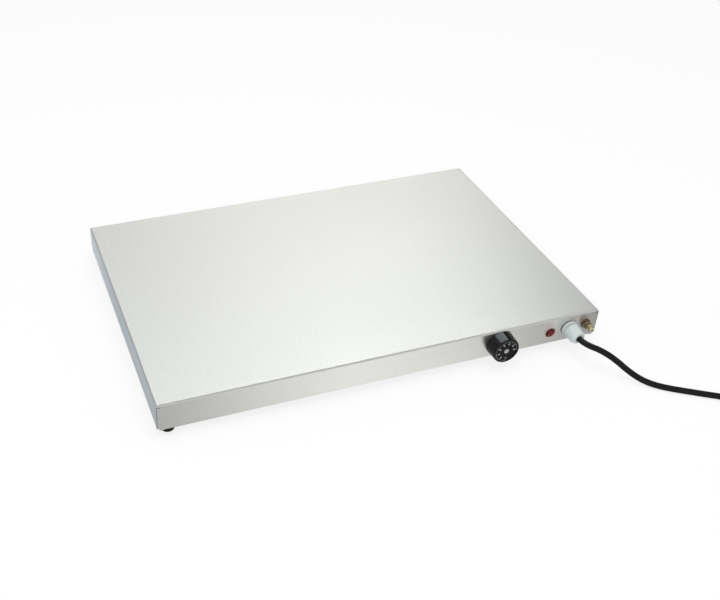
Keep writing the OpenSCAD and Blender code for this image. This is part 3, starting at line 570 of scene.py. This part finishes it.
def dial_plate():
    """The printed face: a thin matt disc in the knob's shallow dish."""
    bm = bmesh.new()
    lathe(bm, [(3.7, 17.45), (3.7, 17.52), (15.55, 17.52), (15.65, 17.45)], KNOB)
    add_mesh("dial_plate", bm, "knob_assembly", "dial_black")


def dial_angle(share):
    """Clockwise from twelve o'clock, seen from the front, in radians."""
    return math.radians(DIAL_START + DIAL_SWEEP * share)


def dial_bar(bm, angle, r0, r1, width):
    """A thin printed bar from r0 to r1, with four corners and a little thickness."""
    d = Vector((math.sin(angle), math.cos(angle)))
    n = Vector((-d.y, d.x)) * width / 2
    flat = [d * r0 - n, d * r1 - n, d * r1 + n, d * r0 + n]
    low = [bm.verts.new(on_dial(p.x, p.y)) for p in flat]
    high = [bm.verts.new(on_dial(p.x, p.y) + Vector((0, -0.05 * MM, 0))) for p in flat]
    for i in range(4):
        j = (i + 1) % 4
        bm.faces.new((low[i], low[j], high[j], high[i]))
    bm.faces.new(high)
    bm.faces.new(list(reversed(low)))


def dial_ticks():
    """Ticks round the dial, with a longer one at each number."""
    bm = bmesh.new()
    count = TICKS_A_LABEL * (len(LABELS) - 1)
    for i in range(count + 1):
        if i % TICKS_A_LABEL == 0:
            dial_bar(bm, dial_angle(i / count), LONG_TICK_INNER, TICK_OUTER, LONG_TICK_WIDTH)
        else:
            dial_bar(bm, dial_angle(i / count), TICK_INNER, TICK_OUTER, TICK_WIDTH)
    bmesh.ops.recalc_face_normals(bm, faces=bm.faces)
    add_mesh("dial_ticks", bm, "knob_assembly", "dial_print", smooth=False)


def dial_figure(i, label):
    """One number of the dial, which reads outward from the centre."""
    text = bpy.data.curves.new("label", "FONT")
    text.body = label
    text.size = LABEL_SIZE * MM
    text.align_x = "CENTER"
    text.align_y = "CENTER"
    text.extrude = 0.03 * MM
    holder = bpy.data.objects.new("label", text)
    scene.collection.objects.link(holder)
    bpy.context.view_layer.update()
    solid = holder.evaluated_get(bpy.context.evaluated_depsgraph_get())
    mesh = bpy.data.meshes.new_from_object(solid)
    bpy.data.objects.remove(holder)
    angle = dial_angle(i / (len(LABELS) - 1))
    turn = Matrix.Rotation(math.pi / 2 - angle, 4, "Z")
    stand = Matrix.Rotation(math.pi / 2, 4, "X")
    place = Matrix.Translation(on_dial(LABEL_R * math.sin(angle), LABEL_R * math.cos(angle)))
    mesh.transform(place @ stand @ turn)
    add_piece(f"dial_figure_{i}", mesh, "knob_assembly", "dial_print")


dial_plate()
dial_ticks()
for i, label in enumerate(LABELS):
    dial_figure(i, label)

# ---------------------------------------------------------------- surroundings
# The brightest level that the studio's ramps can hold
WHITE = 1.4
# Brightness across a reflection's direction, from left (-1) to right (1)
WALL = [(-1, 0.9), (-0.42, 0.9), (-0.15, 0.6), (0.0, 0.56), (0.12, 0.79), (0.22, 1.10),
        (0.34, 1.33), (0.41, 1.38), (0.46, 1.14), (0.50, 1.02), (0.54, 0.12), (1, 0.55)]
CORNERS = [(-1, 0.14), (-0.22, 0.14), (-0.08, 0.6), (0.3, 0.95), (0.45, 0.66), (0.6, 0.3), (1, 0.3)]
SWEEP = [(-1, 0.62), (-0.05, 0.54), (0.12, 0.22), (0.19, 0.48), (0.27, 1.28), (0.42, 1.34),
         (0.47, 0.84), (0.495, 0.40), (0.51, 0.02), (0.62, 0.02), (0.8, 0.45), (1, 0.5)]
# The same for low directions behind, but from front (-1) to back (1)
LOW_BEHIND = [(-1, 0.5), (0.70, 0.50), (0.745, 0.60), (0.80, 0.58), (0.835, 0.95), (0.86, 1.25),
              (1, 1.25)]
# Plain levels in front and overhead, and the softbox as a block of directions
FRONT_WALL = 0.9
CEILING = 0.4
SOFTBOX_X, SOFTBOX_Y, SOFTBOX_Z = (-0.42, 0.48), (0.50, 0.575), (0.5, 1.0)
SOFTBOX_LEVEL = 5.5


def studio_world():
    """White to the camera, a plain level for soft light, and a studio for reflections.

    The studio has a wide pale wall behind and a pale sweep in front and below, both brightest
    a little to the right, with darker corners low behind, and a darker ceiling. One narrow
    softbox hangs before the wall.
    """
    world = bpy.data.worlds.new("studio")
    scene.world = world
    world.use_nodes = True
    world.node_tree.nodes.clear()
    g = Graph(world.node_tree)
    split = g.node("ShaderNodeSeparateXYZ")
    g.join(g.node("ShaderNodeTexCoord").outputs["Generated"], split.inputs["Vector"])
    x, y, z = split.outputs

    def levels(source, stops, tone=(1, 1, 1)):
        """A ramp through (value from -1 to 1, brightness) stops, in one tone."""
        return g.ramp(source, [(0.5 + v / 2, tuple(c * b / WHITE for c in tone)) for v, b in stops])

    def mix(share, a, b):
        made = g.node("ShaderNodeMix", data_type="RGBA")
        g.join(share, made.inputs["Factor"])
        for socket, value in ((made.inputs[6], a), (made.inputs[7], b)):
            if isinstance(value, tuple):
                socket.default_value = (*value, 1)
            else:
                g.join(value, socket)
        return made.outputs[2]

    across = g.math("MULTIPLY_ADD", x, 0.5, 0.5)
    wall = levels(across, WALL, (1.03, 1, 0.965))
    corners = levels(across, CORNERS)
    sweep = levels(across, SWEEP)
    deep = levels(g.math("MULTIPLY_ADD", y, 0.5, 0.5), LOW_BEHIND, (0.91, 1, 1.10))
    behind = g.spread(y, 0, 1, 0.1, 0.4, smooth=True)
    low_behind = g.math("MULTIPLY", behind, g.spread(z, 1, 0, 0.36, 0.5, smooth=True))
    room = mix(behind, (FRONT_WALL / WHITE,) * 3, mix(low_behind, wall, corners))
    # Dimmer toward the horizon, then the ceiling, then all that lies below the horizon
    room = mix(g.spread(z, 0.18, 0, 0.50, 0.57, smooth=True), room, (0, 0, 0))
    room = mix(g.spread(z, 0, 1, 0.61, 0.80, smooth=True), room, (CEILING / WHITE,) * 3)
    room = mix(g.spread(z, 0, 1, -0.12, 0.06, smooth=True), mix(behind, sweep, deep), room)
    box = 1.0
    for source, low, high in ((x, *SOFTBOX_X), (y, *SOFTBOX_Y), (z, *SOFTBOX_Z)):
        box = g.math("MULTIPLY", box, g.math("GREATER_THAN", source, low))
        box = g.math("MULTIPLY", box, g.math("LESS_THAN", source, high))

    def background(color, strength):
        made = g.node("ShaderNodeBackground")
        made.inputs["Strength"].default_value = strength
        if isinstance(color, tuple):
            made.inputs["Color"].default_value = (*color, 1)
        else:
            g.join(color, made.inputs["Color"])
        return made.outputs[0]

    def choose(share, a, b):
        made = g.node("ShaderNodeMixShader")
        for socket, source in zip(made.inputs, (share, a, b)):
            g.join(source, socket)
        return made.outputs[0]

    rays = g.node("ShaderNodeLightPath").outputs
    plain = background((0.97, 0.985, 1.0), 0.72)
    reflected = choose(box, background(room, WHITE), background((0.84, 0.95, 1.0), SOFTBOX_LEVEL))
    seen = choose(rays["Is Glossy Ray"], plain, reflected)
    through = g.math("MAXIMUM", rays["Is Camera Ray"], rays["Is Transmission Ray"])
    seen = choose(through, seen, background((1.0, 1.0, 1.0), 1.0))
    g.join(seen, g.node("ShaderNodeOutputWorld").inputs[0])


studio_world()


def floor_material():
    """Pale and matt, and most of the way to white for the camera, so its shadow stays faint."""
    camera_glow, paint_grey = 0.8, 0.94
    material = bpy.data.materials.new("floor")
    material.use_nodes = True
    g = Graph(material.node_tree)
    material.node_tree.nodes.clear()
    glow = g.node("ShaderNodeEmission")
    glow.inputs["Color"].default_value = (1, 1, 1, 1)
    glow.inputs["Strength"].default_value = 1.0
    paint = g.node("ShaderNodeBsdfDiffuse")
    paint.inputs["Color"].default_value = (paint_grey, paint_grey, paint_grey, 1)
    rays = g.node("ShaderNodeLightPath").outputs
    blend = g.node("ShaderNodeMixShader")
    g.join(g.math("MULTIPLY", rays["Is Camera Ray"], camera_glow), blend.inputs[0])
    g.join(paint.outputs[0], blend.inputs[1])
    g.join(glow.outputs[0], blend.inputs[2])
    g.join(blend.outputs[0], g.node("ShaderNodeOutputMaterial").inputs[0])
    return material


def add_floor():
    half_size = 6
    bm = bmesh.new()
    bmesh.ops.create_grid(bm, x_segments=1, y_segments=1, size=half_size)
    mesh = bpy.data.meshes.new("floor")
    bm.to_mesh(mesh)
    bm.free()
    floor = bpy.data.objects.new("floor", mesh)
    scene.collection.objects.link(floor)
    floor.visible_glossy = False
    floor.data.materials.append(floor_material())


add_floor()


def soft_light(name, place, target, size, power):
    """An area lamp that reflections don't show."""
    data = bpy.data.lights.new(name, "AREA")
    data.shape = "RECTANGLE"
    data.size, data.size_y = size
    data.energy = power
    lamp = bpy.data.objects.new(name, data)
    scene.collection.objects.link(lamp)
    lamp.location = place
    lamp.rotation_mode = "QUATERNION"
    lamp.rotation_quaternion = (Vector(target) - Vector(place)).to_track_quat("-Z", "Y")
    lamp.visible_glossy = False


soft_light("overhead", (-0.1, -0.2, 1.9), (0, 0, 0), (1.6, 1.2), 14)
soft_light("front_left", (-1.6, -1.9, 1.3), (0, -0.1, 0), (1.0, 1.0), 8)

scene.view_settings.view_transform = "Standard"

bpy.context.view_layer.update()
